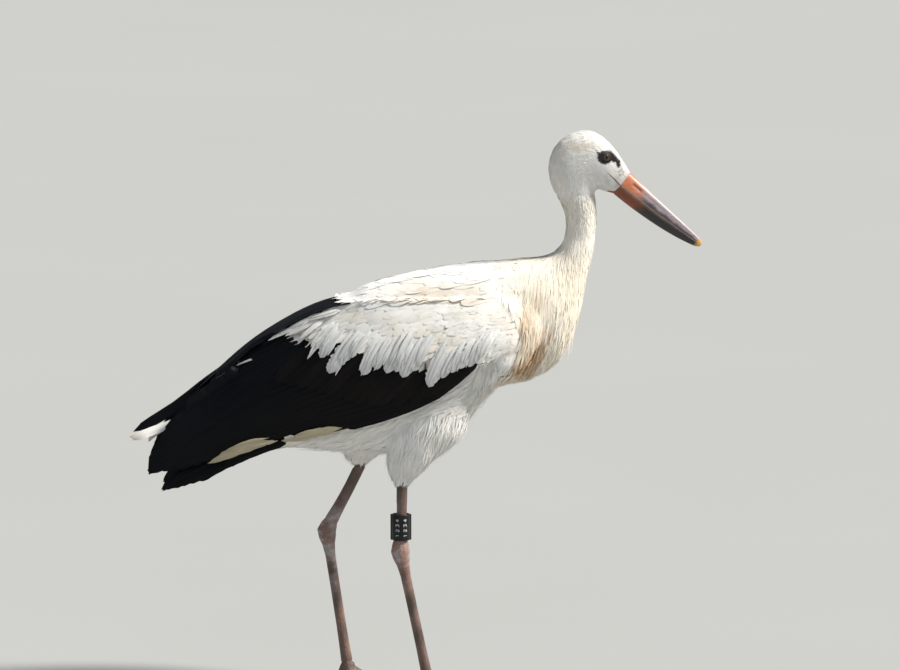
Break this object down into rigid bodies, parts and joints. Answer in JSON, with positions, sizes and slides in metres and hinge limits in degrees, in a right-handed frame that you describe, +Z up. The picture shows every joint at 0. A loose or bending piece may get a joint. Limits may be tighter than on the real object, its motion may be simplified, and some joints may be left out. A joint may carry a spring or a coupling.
{
  "type": "white stork figure",
  "caption": "Life-size young white stork standing in mid-stride, head up, wings folded, with a plain leg ring on its right leg.",
  "frame": {"origin": "centre of the bounding box in plan, at the level of the floor the toes rest on", "axes": "+X the way the bird faces, +Y its left, +Z up"},
  "size_m": [0.8596, 0.1958, 0.8482],
  "materials": {
    "white_plumage": "soft white feathers",
    "cream_breast": "long cream plumes",
    "flight_feathers": "satin black feathers",
    "leg_skin": "scaly grey-pink skin",
    "upper_bill": "horn, salmon at the base and dusky beyond",
    "lower_bill": "horn, rust at the base and black beyond",
    "iris": "wet dark brown",
    "claw": "dull dark horn",
    "ring": "black two-part plastic ring"
  },
  "bodies": {
    "root": {"bill_lower": "lower_bill", "bill_upper": "upper_bill", "claw_left_hind": "claw", "claw_left_inner": "claw", "claw_left_middle": "claw", "claw_left_outer": "claw", "claw_right_hind": "claw", "claw_right_inner": "claw", "claw_right_middle": "claw", "claw_right_outer": "claw", "eye_left": "iris", "eye_right": "iris", "foot_left": "leg_skin", "foot_right": "leg_skin", "head": "white_plumage", "leg_ring": "ring", "neck_lower": "cream_breast", "neck_upper": "white_plumage", "shank_left": "leg_skin", "shank_right": "leg_skin", "tail": "white_plumage", "tarsus_left": "leg_skin", "tarsus_right": "leg_skin", "thigh_left": "white_plumage", "thigh_right": "white_plumage", "toe_left_hind": "leg_skin", "toe_left_inner": "leg_skin", "toe_left_middle": "leg_skin", "toe_left_outer": "leg_skin", "toe_right_hind": "leg_skin", "toe_right_inner": "leg_skin", "toe_right_middle": "leg_skin", "toe_right_outer": "leg_skin", "trunk": "white_plumage", "wing_left_coverts": "white_plumage", "wing_left_primaries": "flight_feathers", "wing_left_secondaries": "flight_feathers", "wing_right_coverts": "white_plumage", "wing_right_primaries": "flight_feathers", "wing_right_secondaries": "flight_feathers"}
  },
  "joints": []
}
